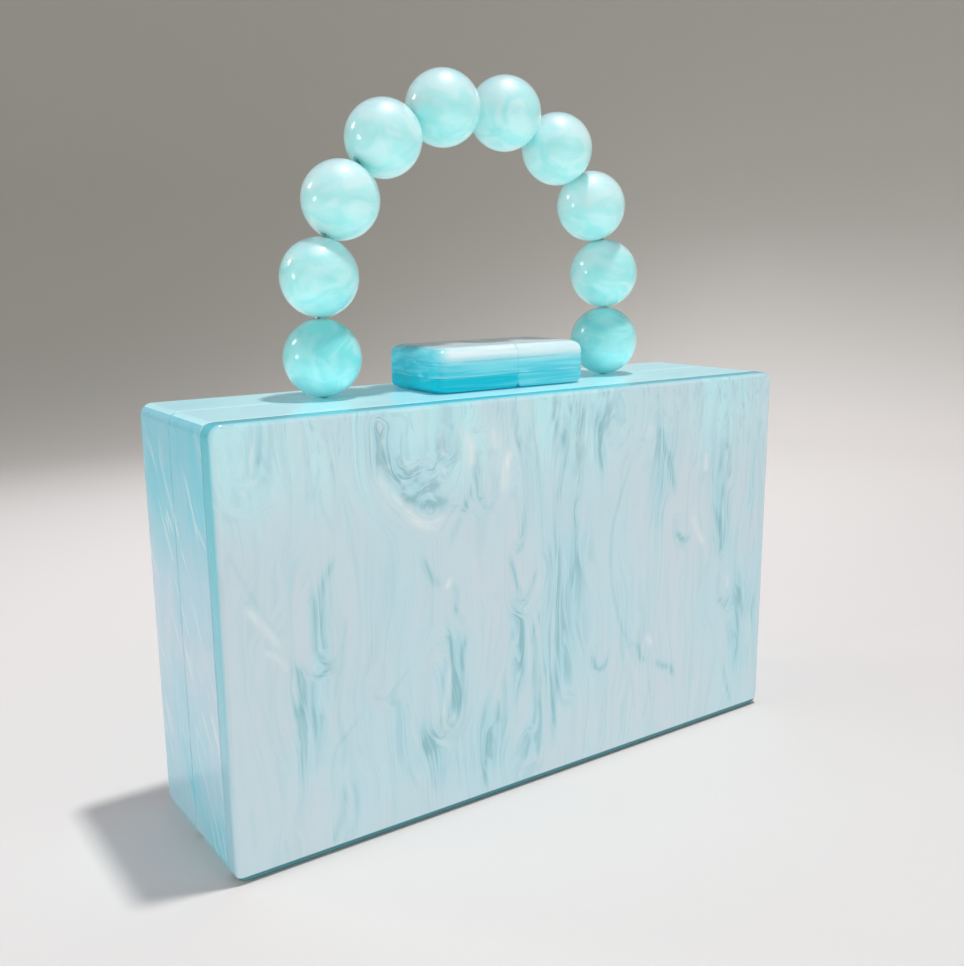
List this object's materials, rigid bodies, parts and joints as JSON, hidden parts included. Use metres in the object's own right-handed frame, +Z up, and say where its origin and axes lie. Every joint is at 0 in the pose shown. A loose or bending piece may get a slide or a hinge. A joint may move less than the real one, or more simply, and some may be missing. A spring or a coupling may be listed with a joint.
{
  "type": "box clutch bag",
  "caption": "Rigid box clutch bag in marbled acrylic that opens on a bottom hinge, with a round bead top handle and a two-block clasp.",
  "frame": {"origin": "centre of the flat bottom that the closed bag stands on", "axes": "+Z up, X along the width, -Y out of the front panel, and the parting plane is parallel to XZ"},
  "size_m": [0.2, 0.055, 0.2138],
  "materials": {
    "panel_acrylic": "polished pearl acrylic, pale grey-blue with turquoise marbling",
    "frame_acrylic": "polished pearl acrylic, light aqua with turquoise marbling",
    "clasp_acrylic": "polished acrylic, saturated turquoise with fine streaks",
    "bead_acrylic": "polished translucent mint-aqua pearl acrylic",
    "steel": "brushed",
    "brass": "satin"
  },
  "bodies": {
    "back_half": {"back_shell": "frame_acrylic", "clasp_right": "clasp_acrylic", "hinge_leaf_back": "steel", "hinge_pin": "steel", "handle_wire": "steel", "wire_crimp_left": "brass", "wire_crimp_right": "brass", "bead_01": "bead_acrylic", "bead_02": "bead_acrylic", "bead_03": "bead_acrylic", "bead_04": "bead_acrylic", "bead_05": "bead_acrylic", "bead_06": "bead_acrylic", "bead_07": "bead_acrylic", "bead_08": "bead_acrylic", "bead_09": "bead_acrylic", "bead_10": "bead_acrylic"},
    "front_half": {"front_panel": "panel_acrylic", "front_frame": "frame_acrylic", "clasp_left": "clasp_acrylic", "hinge_leaf_front": "steel"}
  },
  "joints": [
    {"name": "box_hinge", "type": "hinge", "parent": "back_half", "child": "front_half", "pos_m": [0, 0.0025, 0.0018], "axis": [1, 0, 0], "range_deg": [0, 80]}
  ]
}
